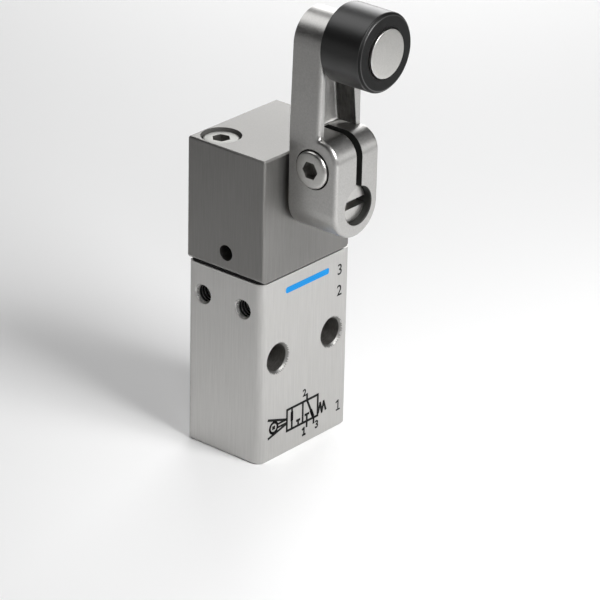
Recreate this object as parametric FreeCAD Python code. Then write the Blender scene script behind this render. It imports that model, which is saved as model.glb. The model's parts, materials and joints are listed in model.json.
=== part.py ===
import FreeCAD, Part
import math
import os

os.makedirs("parts", exist_ok=True)
Vec = FreeCAD.Vector

# Roller lever air valve, 3/2 way, normally closed. Millimetres.
# Origin on the valve axis in the bottom face. +Z is up, the lever hangs on the
# front (-Y), the plain side with two tapped holes is -X, the ports are on +X.

# Clearances and small details
running_clearance = 0.03    # radial, for pieces that turn
sliding_clearance = 0.05    # radial, for pieces that slide
seat_clearance = 0.02       # radial, for pieces pressed or screwed in
touch_gap = 0.05            # end play between faces that meet and move
edge_break = 0.25           # small broken edges

# Valve body
body_left = 12.0            # valve axis to the plain side
body_right = 13.0           # valve axis to the port side
body_depth = 18.0
body_height = 36.0
body_corner_radius = 1.8
chamber_floor = 2.5         # closed bottom of the supply chamber
chamber_radius = 3.0
seat_shoulder_z = 12.0      # the seat insert rests here
cartridge_radius = 3.6      # bore for seat insert and cage
guide_length = 6.8          # the stem guide, down from the body's top
guide_bore_radius = 4.5

# Interfaces on the body
mounting_spacing = 15.0
mounting_height = 20.2
mounting_offset = 0.3       # middle of the pair, from the valve axis towards the ports
mounting_hole_radius = 2.65 # clearance hole of M5
mounting_chamfer = 0.5
side_thread_spacing = 9.5
side_thread_from_top = 5.85
side_thread_back = 0.25     # middle of the pair, behind the valve axis
side_thread_radius = 1.65   # tap drill of M4
side_thread_depth = 5.0
side_thread_chamfer = 0.3
port_thread_radius = 2.1    # tap drill of M5
port_thread_depth = 5.0
port_chamfer = 0.4
port_passage_radius = 1.0
supply_height = 5.5         # port 1
outlet_from_top = 8.1       # port 2
exhaust_from_top = 4.0      # port 3
port_stagger = 3.5          # ports 2 and 3 lie this far off centre
port_passage_end = 1.5      # ports 2 and 3 meet the bore this far from its centre

# Head housing
gasket_thickness = 0.3
gasket_inset = 0.35
head_short = 1.0            # the head ends this far short of the port side
head_forward = 0.1          # the head stands this far forward of the body
head_above_shaft = 8.6
head_corner_radius = 0.4
head_top_edge = 0.3
head_bottom_edge = 0.7      # on the left and right only
cavity_radius = 5.2
cam_headroom = 0.6          # over the cam
vent_radius = 1.5
vent_above_head_base = 3.7
vent_y = -0.4

# Head screws, M4 with a hexagon socket
m4_radius = 2.0
m4_head_radius = 3.5
m4_head_height = 4.0
m4_head_edge = 0.4          # chamfer round the head's top
m4_socket_flats = 3.0
m4_socket_depth = 2.0
m4_clearance_radius = 2.25
counterbore_radius = 3.75
head_screw_recess = 0.5
head_screw_inset = 4.2      # screw axis to the two nearest sides
head_screw_grip = 3.5       # thread length in the body

# Lever shaft with its cam and bushes
shaft_height = 51.4
shaft_radius = 3.5
shaft_tail_radius = 2.0
shaft_recess = 1.3          # front end below the hub face
shaft_slot_width = 1.55
shaft_slot_depth = 2.0
shaft_end_cover = 0.9       # wall behind the rear bush
shaft_end_play = 0.1
bush_wall = 1.0
bush_flange_radius = 5.2
bush_flange = 0.4
thrust_washer = 0.45
cam_radius = 4.0
cam_flat = 3.0              # shaft axis to the flat
cam_lobe_length = 6.0
cam_hub_radius = 3.0
cam_hub_length = 8.2
cam_pin_radius = 0.6
shaft_seal_section = 0.3
shaft_seal_from_face = 2.0

# Lever
lever_length = 30.0         # shaft axis to roller axis
lever_gap = 0.9             # head face to the back of the lever
arm_depth = 6.5
arm_end_radius = 5.6
arm_end_left = 0.25         # middle of the round end, beside the roller axis
arm_end_drop = 0.75         # and below it
arm_taper_start = 14.0      # above the shaft axis
hub_depth = 10.7
hub_left = 6.4              # shaft axis to the clamp screw side
hub_right = 5.5
hub_flat_top = 9.0          # the front face ends here, above the shaft axis
hub_top = 13.05
hub_shoulder_y = 3.9        # depth of the rounded shoulder
lever_edge_radius = 0.8
slot_width = 1.6
pocket_left_wall = 1.55
pocket_right_wall = 1.15    # at the hub
pocket_right_lean = 13.5    # degrees, the right wall grows thicker upwards
pocket_fillet = 0.6         # between floor and walls
web_thickness = 2.2
boss_radius = 4.5           # round the roller pin
pocket_beside_boss = 1.0    # the pocket runs this far up beside the boss
bore_edge_break = 0.2
clamp_height = 7.3          # clamp screw above the shaft axis
clamp_head_proud = 0.7
clamp_screw_length = 8.0

# Roller
roller_radius = 7.25
roller_width = 8.8
roller_rim = 0.5            # chamfer at the front
roller_recess = 0.3         # counterbore for the pin's head
roller_recess_gap = 0.2     # round the pin's head
roller_washer_radius = 4.0
roller_washer_thickness = 0.5
roller_pin_radius = 2.5
roller_pin_head_radius = 4.45
roller_pin_head = 0.75
roller_pin_head_edge = 0.15
roller_pin_tail_radius = 3.2
roller_pin_tail = 0.7

# Tappet
tappet_lift = 1.0
stroke_clearance = 0.2      # left under the tappet at full stroke
cam_clearance = 0.15        # between the cam's round and the tappet
tappet_plate_radius = 3.6
tappet_plate = 1.5
tappet_shank_radius = 1.9
tappet_guide_height = 2.7
tappet_spring_radius = 2.85
tappet_spring_wire = 0.3
tappet_spring_turns = 3

# Stem and its guide
stem_radius = 1.5
stem_bore_radius = 0.8
stem_lift_off = 0.3         # exhaust gap over the poppet at rest
stem_vent_radius = 0.6
stem_bore_end = 1.0         # above the cross hole
guide_groove_depth = 0.9
guide_slot = 1.4
exhaust_groove = 2.0
o_ring_radius = 0.42        # half the section of the static rings
stem_ring_radius = 0.4      # half the section of the two stem rings
ring_groove_play = 0.1

# Seat, cage and poppet
seat_height = 4.0
seat_bore_radius = 1.95
seat_lip_wall = 0.4
seat_lip = 0.4
cage_bore_radius = 2.4
cage_groove_radius = 3.0
cage_groove = 2.0
cage_slot = 1.6
poppet_radius = 2.9
poppet_flat = 2.45
poppet_flat_count = 3
poppet_height = 5.5
poppet_rim = 0.6            # seal stands out of the poppet
poppet_seal_radius = 2.45
poppet_seal_step = 0.1      # the plug is this much smaller than the face
poppet_seal = 1.4
poppet_recess_radius = 2.2
poppet_recess = 3.5
poppet_spring_radius = 1.75
poppet_spring_wire = 0.25
poppet_spring_turns = 3

# Levels that follow from the sizes above
guide_shoulder_z = body_height - guide_length
side_thread_z = body_height - side_thread_from_top
outlet_z = body_height - outlet_from_top
exhaust_z = body_height - exhaust_from_top
head_base = body_height + gasket_thickness
head_top = shaft_height + head_above_shaft
head_right = body_right - head_short
head_front = -body_depth / 2 - head_forward
head_back = body_depth / 2 - head_forward
lever_back = head_front - lever_gap
hub_front = lever_back - hub_depth
arm_front = lever_back - arm_depth
web_front = lever_back - web_thickness
roller_height = shaft_height + lever_length
roller_back = arm_front - roller_washer_thickness - touch_gap
roller_front = roller_back - roller_width
clamp_y = lever_back - hub_depth / 2
clamp_z = shaft_height + clamp_height
cavity_top = shaft_height + cam_radius + cam_headroom
bush_radius = shaft_radius + bush_wall
rear_bush_radius = shaft_tail_radius + bush_wall
bush_inner_y = cam_hub_length / 2 + shaft_end_play
rear_bore_end = head_back - shaft_end_cover
tappet_top = shaft_height - cam_radius - cam_clearance
tappet_seat = tappet_top - tappet_plate
tappet_guide_top = head_base + tappet_guide_height
stem_top = body_height + tappet_lift + stroke_clearance
seat_lip_z = seat_shoulder_z - seat_lip
poppet_top = seat_lip_z - poppet_rim
poppet_bottom = poppet_top - poppet_height
cage_base = seat_shoulder_z + seat_height
head_screw_places = [
    (-body_left + head_screw_inset, head_back - head_screw_inset),
    (head_right - head_screw_inset, head_front + head_screw_inset),
]

X_AXIS = Vec(1, 0, 0)
Y_AXIS = Vec(0, 1, 0)
Z_AXIS = Vec(0, 0, 1)


def rod(radius, start, end):
    """Solid cylinder between two points."""
    along = end - start
    return Part.makeCylinder(radius, along.Length, start, along)


def ring(outer, inner, start, end):
    """Sleeve between two points."""
    return rod(outer, start, end).cut(rod(inner, start, end))


def block(x0, x1, y0, y1, z0, z1):
    return Part.makeBox(x1 - x0, y1 - y0, z1 - z0, Vec(x0, y0, z0))


def mouth(radius, size, centre, inward):
    """Cutter for a 45 degree chamfer round a hole's mouth."""
    return Part.makeCone(radius + size, radius, size, centre, inward)


def o_ring(major, minor, centre, axis):
    """Seal ring in its groove, with a four-sided section that stands on its edge."""
    points = [
        Vec(major - minor, 0, 0),
        Vec(major, 0, -minor),
        Vec(major + minor, 0, 0),
        Vec(major, 0, minor),
        Vec(major - minor, 0, 0),
    ]
    seal = Part.Face(Part.makePolygon(points)).revolve(Vec(0, 0, 0), Z_AXIS, 360)
    seal.Placement = FreeCAD.Placement(centre, FreeCAD.Rotation(Z_AXIS, axis))
    return seal


def annulus(outer, inner, z0, z1):
    """Sleeve on the valve axis."""
    return ring(outer, inner, Vec(0, 0, z0), Vec(0, 0, z1))


def post(radius, z0, z1, x=0.0, y=0.0):
    """Upright cylinder."""
    return rod(radius, Vec(x, y, z0), Vec(x, y, z1))


def spindle(radius, y0, y1, z):
    """Cylinder along Y on the centre plane."""
    return rod(radius, Vec(0, y0, z), Vec(0, y1, z))


def edges_where(shape, test):
    return [edge for edge in shape.Edges if test(edge)]


def upright(edge):
    ends = edge.Vertexes
    if len(ends) < 2:
        return False
    run = ends[1].Point - ends[0].Point
    return abs(run.x) + abs(run.y) < 1e-6 and abs(run.z) > 1e-6


def at_level(z):
    """Test for edges that lie flat at one height."""
    def test(edge):
        box = edge.BoundBox
        return abs(box.ZMin - z) < 1e-6 and abs(box.ZMax - z) < 1e-6
    return test


def along_y(edge):
    box = edge.BoundBox
    return box.YLength > 1e-6 and box.XLength + box.ZLength < 1e-6


def at_depth(y):
    """Test for edges that lie in one plane across Y."""
    def test(edge):
        box = edge.BoundBox
        return abs(box.YMin - y) < 1e-6 and abs(box.YMax - y) < 1e-6
    return test


def crossed_slots(width, reach, z):
    """Two square-ended slots across the valve axis, which open four windows in a sleeve."""
    half = width / 2
    return [
        block(-reach, reach, -half, half, z - half, z + half),
        block(-half, half, -reach, reach, z - half, z + half),
    ]


def coil(radius, wire, turns, z0, z1):
    """Compression spring of square wire on the valve axis, between two seats."""
    height = z1 - z0 - 2 * wire
    path = Part.makeHelix(height / turns, height, radius)
    path.translate(Vec(0, 0, z0 + wire))
    low = z0
    high = z0 + 2 * wire
    section = Part.makePolygon([
        Vec(radius - wire, 0, low),
        Vec(radius + wire, 0, low),
        Vec(radius + wire, 0, high),
        Vec(radius - wire, 0, high),
        Vec(radius - wire, 0, low),
    ])
    return Part.Wire(path).makePipeShell([section], True, True)


def cap_screw(length):
    """M4 socket screw, head up, underside of the head at the origin."""
    head = rod(m4_head_radius, Vec(0, 0, 0), Vec(0, 0, m4_head_height))
    rim = edges_where(head, at_level(m4_head_height))
    head = head.makeChamfer(m4_head_edge, rim)
    shank = rod(m4_radius, Vec(0, 0, -length), Vec(0, 0, 0))
    corner = m4_socket_flats / math.sqrt(3)
    points = []
    for index in range(7):
        angle = math.pi / 3 * index
        points.append(Vec(corner * math.cos(angle), corner * math.sin(angle), m4_head_height))
    socket = Part.Face(Part.makePolygon(points)).extrude(Vec(0, 0, -m4_socket_depth))
    return head.fuse(shank).removeSplitter().cut(socket)


def save(name, shape):
    if not shape.isValid():
        print("not valid:", name)
    solids = shape.Solids
    if len(solids) == 1:
        shape = solids[0]
    shape.exportStep("parts/" + name + ".step")
    print(name, len(solids), round(shape.Volume, 2))


def make_valve_body():
    body = block(-body_left, body_right, -body_depth / 2, body_depth / 2, 0, body_height)
    body = body.makeFillet(body_corner_radius, edges_where(body, upright))
    body = body.makeChamfer(edge_break, edges_where(body, at_level(0)))
    cuts = [
        post(chamber_radius, chamber_floor, body_height),
        post(cartridge_radius, seat_shoulder_z, body_height),
        post(guide_bore_radius, guide_shoulder_z, body_height),
    ]
    for side in (-1, 1):
        x = mounting_offset + side * mounting_spacing / 2
        front = Vec(x, -body_depth / 2, mounting_height)
        back = Vec(x, body_depth / 2, mounting_height)
        cuts.append(rod(mounting_hole_radius, front, back))
        cuts.append(mouth(mounting_hole_radius, mounting_chamfer, front, Y_AXIS))
        face = Vec(-body_left, side_thread_back + side * side_thread_spacing / 2, side_thread_z)
        cuts.append(rod(side_thread_radius, face, face + X_AXIS * side_thread_depth))
        cuts.append(mouth(side_thread_radius, side_thread_chamfer, face, X_AXIS))
    for y, z, end in (
        (0.0, supply_height, 0.0),
        (-port_stagger, outlet_z, port_passage_end),
        (port_stagger, exhaust_z, port_passage_end),
    ):
        face = Vec(body_right, y, z)
        cuts.append(rod(port_thread_radius, face, face - X_AXIS * port_thread_depth))
        cuts.append(mouth(port_thread_radius, port_chamfer, face, -X_AXIS))
        cuts.append(rod(port_passage_radius, face, Vec(end, y, z)))
    for x, y in head_screw_places:
        bottom = body_height - head_screw_grip - touch_gap
        cuts.append(post(m4_radius + seat_clearance, bottom, body_height, x, y))
    save("valve_body", body.cut(cuts))


def make_seat_parts():
    seat = annulus(cartridge_radius - seat_clearance, seat_bore_radius, seat_shoulder_z, cage_base)
    lip = annulus(seat_bore_radius + seat_lip_wall, seat_bore_radius, seat_lip_z, seat_shoulder_z)
    middle = (seat_shoulder_z + cage_base) / 2
    half = o_ring_radius + ring_groove_play
    floor = cartridge_radius - 2 * o_ring_radius
    groove = annulus(cartridge_radius, floor, middle - half, middle + half)
    save("seat_insert", seat.fuse(lip).removeSplitter().cut(groove))
    save("seat_o_ring", o_ring(floor + o_ring_radius, o_ring_radius, Vec(0, 0, middle), Z_AXIS))

    cage = annulus(cartridge_radius - seat_clearance, cage_bore_radius, cage_base, guide_shoulder_z)
    groove = annulus(
        cartridge_radius,
        cage_groove_radius,
        outlet_z - cage_groove / 2,
        outlet_z + cage_groove / 2,
    )
    windows = crossed_slots(cage_slot, cartridge_radius, outlet_z)
    save("spacer_cage", cage.cut([groove] + windows))


def make_poppet_parts():
    poppet = post(poppet_radius, poppet_bottom, poppet_top)
    for index in range(poppet_flat_count):
        flat = block(poppet_flat, poppet_radius, -poppet_radius, poppet_radius, poppet_bottom, poppet_top)
        flat.rotate(Vec(0, 0, 0), Z_AXIS, 360 / poppet_flat_count * index)
        poppet = poppet.cut(flat)
    seal_bottom = seat_lip_z - poppet_seal
    plug_radius = poppet_seal_radius - poppet_seal_step
    plug = post(plug_radius, seal_bottom, poppet_top)
    recess = post(poppet_recess_radius, poppet_bottom, poppet_bottom + poppet_recess)
    save("poppet", poppet.cut([plug, recess]))
    face = post(poppet_seal_radius, poppet_top, seat_lip_z)
    save("poppet_seal", plug.fuse(face).removeSplitter())
    spring_top = poppet_bottom + poppet_recess
    save(
        "poppet_spring",
        coil(poppet_spring_radius, poppet_spring_wire, poppet_spring_turns, chamber_floor, spring_top),
    )


def make_stem_parts():
    stem = post(stem_radius, seat_lip_z + stem_lift_off, stem_top)
    duct = post(stem_bore_radius, seat_lip_z, exhaust_z + stem_bore_end)
    across = rod(stem_vent_radius, Vec(-stem_radius, 0, exhaust_z), Vec(stem_radius, 0, exhaust_z))
    save("stem", stem.cut([duct, across]))

    guide = annulus(
        guide_bore_radius - seat_clearance,
        stem_radius + sliding_clearance,
        guide_shoulder_z,
        body_height,
    )
    half_groove = exhaust_groove / 2
    lower_z = (guide_shoulder_z + exhaust_z - half_groove) / 2
    upper_z = 2 * exhaust_z - lower_z
    static_half = o_ring_radius + ring_groove_play
    stem_half = stem_ring_radius + ring_groove_play
    static_floor = guide_bore_radius - 2 * o_ring_radius
    stem_floor = stem_radius + sliding_clearance + 2 * stem_ring_radius
    cuts = [
        annulus(
            guide_bore_radius,
            guide_bore_radius - guide_groove_depth,
            exhaust_z - half_groove,
            exhaust_z + half_groove,
        ),
    ]
    cuts += crossed_slots(guide_slot, guide_bore_radius, exhaust_z)
    static_rings = []
    stem_rings = []
    for z in (lower_z, upper_z):
        centre = Vec(0, 0, z)
        cuts.append(annulus(guide_bore_radius, static_floor, z - static_half, z + static_half))
        cuts.append(post(stem_floor, z - stem_half, z + stem_half))
        static_rings.append(o_ring(static_floor + o_ring_radius, o_ring_radius, centre, Z_AXIS))
        stem_rings.append(o_ring(stem_floor - stem_ring_radius, stem_ring_radius, centre, Z_AXIS))
    save("stem_guide", guide.cut(cuts))
    save("guide_o_rings", Part.makeCompound(static_rings))
    save("stem_o_rings", Part.makeCompound(stem_rings))


def make_head_housing():
    head = block(-body_left, head_right, head_front, head_back, head_base, head_top)
    lower_sides = [edge for edge in edges_where(head, at_level(head_base)) if along_y(edge)]
    head = head.makeChamfer(head_bottom_edge, lower_sides)
    head = head.makeFillet(head_corner_radius, edges_where(head, upright))
    head = head.makeChamfer(head_top_edge, edges_where(head, at_level(head_top)))
    cuts = [
        post(cavity_radius, head_base, cavity_top),
        spindle(bush_radius, head_front, 0, shaft_height),
        spindle(rear_bush_radius, 0, rear_bore_end, shaft_height),
    ]
    vent_z = head_base + vent_above_head_base
    cuts.append(rod(vent_radius, Vec(-body_left, vent_y, vent_z), Vec(0, vent_y, vent_z)))
    for x, y in head_screw_places:
        seat = head_top - head_screw_recess - m4_head_height
        cuts.append(post(m4_clearance_radius, head_base, head_top, x, y))
        cuts.append(post(counterbore_radius, seat, head_top, x, y))
    save("head_housing", head.cut(cuts))


def make_gasket():
    gasket = block(
        -body_left + gasket_inset,
        head_right - gasket_inset,
        head_front + gasket_inset,
        head_back - gasket_inset,
        body_height,
        head_base,
    )
    gasket = gasket.makeFillet(body_corner_radius - gasket_inset, edges_where(gasket, upright))
    cuts = [post(chamber_radius, body_height, head_base)]
    for x, y in head_screw_places:
        cuts.append(post(m4_clearance_radius, body_height, head_base, x, y))
    save("head_gasket", gasket.cut(cuts))


def make_head_screws():
    seat = head_top - head_screw_recess - m4_head_height
    length = seat - body_height + head_screw_grip
    screws = []
    for x, y in head_screw_places:
        screw = cap_screw(length)
        screw.translate(Vec(x, y, seat))
        screws.append(screw)
    save("head_screws", Part.makeCompound(screws))


def make_bushes():
    front = spindle(bush_radius - seat_clearance, head_front, -bush_inner_y, shaft_height)
    flange = spindle(bush_flange_radius, head_front - bush_flange, head_front, shaft_height)
    bore = spindle(shaft_radius + running_clearance, lever_back, 0, shaft_height)
    save("front_bush", front.fuse(flange).removeSplitter().cut(bore))
    rear = spindle(rear_bush_radius - seat_clearance, bush_inner_y, rear_bore_end, shaft_height)
    bore = spindle(shaft_tail_radius + running_clearance, 0, rear_bore_end, shaft_height)
    save("rear_bush", rear.cut(bore))
    washer = spindle(bush_flange_radius, lever_back, lever_back + thrust_washer, shaft_height)
    bore = spindle(shaft_radius + seat_clearance, lever_back, lever_back + thrust_washer, shaft_height)
    save("thrust_washer", washer.cut(bore))


def make_shaft():
    front = hub_front + shaft_recess
    shoulder = -bush_inner_y
    shaft = spindle(shaft_radius, front, shoulder, shaft_height)
    shaft = shaft.makeChamfer(edge_break, edges_where(shaft, at_depth(front)))
    tail = spindle(shaft_tail_radius, shoulder, rear_bore_end - shaft_end_play, shaft_height)
    seal_y = head_front + shaft_seal_from_face
    seal_floor = shaft_radius - 2 * shaft_seal_section
    half = shaft_seal_section + ring_groove_play
    groove = spindle(shaft_radius, seal_y - half, seal_y + half, shaft_height)
    groove = groove.cut(spindle(seal_floor, seal_y - half, seal_y + half, shaft_height))
    slot = block(
        -shaft_radius,
        shaft_radius,
        front,
        front + shaft_slot_depth,
        shaft_height - shaft_slot_width / 2,
        shaft_height + shaft_slot_width / 2,
    )
    pin_hole = rod(cam_pin_radius, Vec(-cam_radius, 0, shaft_height), Vec(cam_radius, 0, shaft_height))
    save("lever_shaft", shaft.fuse(tail).removeSplitter().cut([groove, slot, pin_hole]))
    centre = Vec(0, seal_y, shaft_height)
    save("shaft_o_ring", o_ring(seal_floor + shaft_seal_section, shaft_seal_section, centre, Y_AXIS))

    lobe = spindle(cam_radius, -cam_lobe_length / 2, cam_lobe_length / 2, shaft_height)
    hub = spindle(cam_hub_radius, -cam_hub_length / 2, cam_hub_length / 2, shaft_height)
    flat = block(
        -cam_radius,
        cam_radius,
        -cam_hub_length / 2,
        cam_hub_length / 2,
        shaft_height - cam_radius,
        shaft_height - cam_flat,
    )
    bore = spindle(shaft_tail_radius + seat_clearance, -cam_hub_length / 2, cam_hub_length / 2, shaft_height)
    save("cam", lobe.fuse(hub).removeSplitter().cut([flat, bore, pin_hole]))
    reach = math.sqrt(cam_radius ** 2 - cam_pin_radius ** 2) - touch_gap
    pin = rod(cam_pin_radius - seat_clearance, Vec(-reach, 0, shaft_height), Vec(reach, 0, shaft_height))
    save("cam_pin", pin)


def arm_outline():
    """Front view of the lever: hub half round, straight sides, tapering arm with a round end."""
    hub_radius = (hub_left + hub_right) / 2
    hub_x = (hub_right - hub_left) / 2
    top = Vec(-arm_end_left, 0, roller_height - arm_end_drop)
    bottom_left = Vec(-hub_left, 0, shaft_height)
    bottom_right = Vec(hub_right, 0, shaft_height)
    bottom = Vec(hub_x, 0, shaft_height - hub_radius)
    taper_left = Vec(-hub_left, 0, shaft_height + arm_taper_start)
    taper_right = Vec(hub_right, 0, shaft_height + arm_taper_start)
    end_left = tangent_point(top, arm_end_radius, taper_left, -1)
    end_right = tangent_point(top, arm_end_radius, taper_right, 1)
    apex = top + Vec(0, 0, arm_end_radius)
    edges = [
        Part.Arc(bottom_left, bottom, bottom_right).toShape(),
        Part.makeLine(bottom_right, taper_right),
        Part.makeLine(taper_right, end_right),
        Part.Arc(end_right, apex, end_left).toShape(),
        Part.makeLine(end_left, taper_left),
        Part.makeLine(taper_left, bottom_left),
    ]
    return Part.Wire(edges)


def tangent_point(centre, radius, outside, side):
    """Where a line from an outside point touches a circle in the XZ plane."""
    away = outside - centre
    reach = away.Length
    base = math.atan2(away.z, away.x)
    turn = math.acos(radius / reach)
    angle = base + side * turn
    return centre + Vec(radius * math.cos(angle), 0, radius * math.sin(angle))


def hub_rim(edge):
    """Test for the hub's outer edges: round its front face and down both sides of the shoulder."""
    box = edge.BoundBox
    in_front = abs(box.YMax - hub_front) < 1e-6 and box.ZLength > 1e-6
    down_side = box.XLength < 1e-6 and box.YLength > 1e-6 and box.ZLength > 1e-6
    return in_front or down_side


def make_lever():
    outline = Part.Face(arm_outline())
    outline.translate(Vec(0, lever_back, 0))
    arm = outline.extrude(Vec(0, -arm_depth, 0))
    arm = arm.makeFillet(lever_edge_radius, edges_where(arm, at_depth(arm_front)))

    hub_base = shaft_height - hub_left - hub_right
    shoulder_z = shaft_height + hub_flat_top
    top_z = shaft_height + hub_top
    shoulder_y = hub_front + hub_shoulder_y
    rise = top_z - shoulder_z
    middle = Vec(
        0,
        shoulder_y - hub_shoulder_y * math.cos(math.pi / 4),
        shoulder_z + rise * math.sin(math.pi / 4),
    )
    side = Part.Wire([
        Part.makeLine(Vec(0, lever_back, hub_base), Vec(0, hub_front, hub_base)),
        Part.makeLine(Vec(0, hub_front, hub_base), Vec(0, hub_front, shoulder_z)),
        Part.Arc(Vec(0, hub_front, shoulder_z), middle, Vec(0, shoulder_y, top_z)).toShape(),
        Part.makeLine(Vec(0, shoulder_y, top_z), Vec(0, lever_back, top_z)),
        Part.makeLine(Vec(0, lever_back, top_z), Vec(0, lever_back, hub_base)),
    ])
    side_face = Part.Face(side)
    side_face.translate(Vec(-hub_left, 0, 0))
    slab = side_face.extrude(Vec(hub_left + hub_right, 0, 0))
    front = outline.extrude(Vec(0, -hub_depth, 0))
    hub = front.common(slab)
    hub = hub.makeFillet(lever_edge_radius, edges_where(hub, hub_rim))
    lever = arm.fuse(hub).removeSplitter()

    pocket_left = -hub_left + pocket_left_wall
    pocket_right = hub_right - pocket_right_wall
    pocket_top = roller_height - boss_radius + pocket_beside_boss
    pocket_right_end = pocket_right - (pocket_top - top_z) * math.tan(math.radians(pocket_right_lean))
    pocket_face = Part.Face(Part.makePolygon([
        Vec(pocket_left, web_front, top_z),
        Vec(pocket_right, web_front, top_z),
        Vec(pocket_right_end, web_front, pocket_top),
        Vec(pocket_left, web_front, pocket_top),
        Vec(pocket_left, web_front, top_z),
    ]))
    pocket = pocket_face.extrude(Vec(0, arm_front - web_front, 0))
    floor_edges = edges_where(pocket, at_depth(web_front))
    floor_rim = [edge for edge in floor_edges if edge.BoundBox.ZMin < pocket_top - pocket_fillet]
    pocket = pocket.makeFillet(pocket_fillet, floor_rim)
    pocket = pocket.cut(spindle(boss_radius, arm_front, web_front, roller_height))
    half_slot = slot_width / 2
    clamp_seat = -hub_left - clamp_head_proud + m4_head_height
    cuts = [
        pocket,
        spindle(shaft_radius + seat_clearance / 2, hub_front, lever_back, shaft_height),
        mouth(shaft_radius, bore_edge_break, Vec(0, hub_front, shaft_height), Y_AXIS),
        block(-half_slot, half_slot, hub_front, lever_back, shaft_height, top_z),
        rod(counterbore_radius, Vec(-hub_left, clamp_y, clamp_z), Vec(clamp_seat, clamp_y, clamp_z)),
        rod(m4_radius + seat_clearance, Vec(clamp_seat, clamp_y, clamp_z), Vec(hub_right, clamp_y, clamp_z)),
        spindle(roller_pin_radius + seat_clearance, arm_front, lever_back, roller_height),
        Part.makeCone(
            roller_pin_tail_radius,
            roller_pin_radius,
            roller_pin_tail,
            Vec(0, lever_back, roller_height),
            -Y_AXIS,
        ),
    ]
    save("lever", lever.cut(cuts))

    screw = cap_screw(clamp_screw_length)
    screw.rotate(Vec(0, 0, 0), Y_AXIS, -90)
    screw.translate(Vec(clamp_seat, clamp_y, clamp_z))
    save("clamp_screw", screw)


def make_roller():
    roller = spindle(roller_radius, roller_front, roller_back, roller_height)
    roller = roller.makeChamfer(roller_rim, edges_where(roller, at_depth(roller_front)))
    roller = roller.makeChamfer(edge_break, edges_where(roller, at_depth(roller_back)))
    bore = spindle(roller_pin_radius + running_clearance, roller_front, roller_back, roller_height)
    seat_y = roller_front + roller_recess
    seat = spindle(roller_pin_head_radius + roller_recess_gap, roller_front, seat_y, roller_height)
    save("roller", roller.cut([bore, seat]))

    head_back_y = seat_y - touch_gap
    head_front_y = head_back_y - roller_pin_head
    head = spindle(roller_pin_head_radius, head_front_y, head_back_y, roller_height)
    head = head.makeChamfer(roller_pin_head_edge, edges_where(head, at_depth(head_front_y)))
    shank = spindle(roller_pin_radius, head_back_y, lever_back, roller_height)
    tail = Part.makeCone(
        roller_pin_tail_radius,
        roller_pin_radius,
        roller_pin_tail,
        Vec(0, lever_back, roller_height),
        -Y_AXIS,
    )
    save("roller_pin", head.fuse([shank, tail]).removeSplitter())
    washer = spindle(roller_washer_radius, arm_front - roller_washer_thickness, arm_front, roller_height)
    hole = spindle(roller_pin_radius + seat_clearance, roller_front, arm_front, roller_height)
    save("roller_washer", washer.cut(hole))


def make_tappet():
    plate = post(tappet_plate_radius, tappet_seat, tappet_top)
    plate = plate.makeChamfer(edge_break, edges_where(plate, at_level(tappet_top)))
    shank = post(tappet_shank_radius, stem_top + touch_gap, tappet_seat)
    save("tappet", plate.fuse(shank).removeSplitter())
    guide = annulus(
        cavity_radius - seat_clearance,
        tappet_shank_radius + sliding_clearance,
        head_base,
        tappet_guide_top,
    )
    save("tappet_guide", guide)
    save(
        "tappet_spring",
        coil(tappet_spring_radius, tappet_spring_wire, tappet_spring_turns, tappet_guide_top, tappet_seat),
    )


make_valve_body()
make_seat_parts()
make_poppet_parts()
make_stem_parts()
make_gasket()
make_head_housing()
make_head_screws()
make_bushes()
make_shaft()
make_lever()
make_roller()
make_tappet()
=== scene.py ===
import json
import math

import bmesh
import bpy
from mathutils import Matrix, Vector


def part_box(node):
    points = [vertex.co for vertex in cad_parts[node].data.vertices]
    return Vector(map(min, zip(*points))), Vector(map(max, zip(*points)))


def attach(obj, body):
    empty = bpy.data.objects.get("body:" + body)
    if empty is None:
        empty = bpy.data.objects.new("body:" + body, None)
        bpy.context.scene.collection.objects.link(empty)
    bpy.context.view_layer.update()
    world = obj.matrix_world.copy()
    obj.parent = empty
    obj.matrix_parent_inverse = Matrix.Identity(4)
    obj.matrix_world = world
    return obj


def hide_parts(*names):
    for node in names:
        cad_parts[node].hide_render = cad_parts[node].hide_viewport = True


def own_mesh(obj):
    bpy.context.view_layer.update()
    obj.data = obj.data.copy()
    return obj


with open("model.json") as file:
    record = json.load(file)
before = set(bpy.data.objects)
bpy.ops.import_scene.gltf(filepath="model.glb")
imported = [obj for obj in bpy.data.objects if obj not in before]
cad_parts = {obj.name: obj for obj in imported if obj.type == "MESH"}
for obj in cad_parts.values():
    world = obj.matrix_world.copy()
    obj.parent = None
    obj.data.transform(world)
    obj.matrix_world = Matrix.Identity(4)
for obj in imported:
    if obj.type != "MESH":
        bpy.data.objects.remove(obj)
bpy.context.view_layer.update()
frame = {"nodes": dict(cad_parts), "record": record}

# Roller lever air valve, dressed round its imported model. Lengths in this script are millimetres,
# MM turns them into metres.
nodes = frame["nodes"]
mounts = {mount["name"]: mount for mount in frame["record"]["mounts"]}
slots = {item["node"]: item["material_slot"] for item in frame["record"]["subparts"]}

MM = 0.001
FULL_TURN = 2 * math.pi

# The photograph's camera, fitted to the straight edges of body and head
VIEW_AZIMUTH = -50.11
VIEW_ELEVATION = 25.08
VIEW_ROLL = 1.24
VIEW_DISTANCE = 631.84
VIEW_AIM = Vector((-1.32, -8.92, 29.79))
PHOTO_SIDE = 600
FOCAL_PIXELS = 3505.4
SENSOR_WIDTH = 36.0

# Standard threads: pitch, radius at the crests and at the roots
M4_PITCH = 0.7
M4_CREST = 1.66
M4_ROOT = 2.0
M5_PITCH = 0.8
M5_CREST = 2.13
M5_ROOT = 2.45
THREAD_LENGTH = 4.5
THREAD_STEPS = 40
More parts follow.
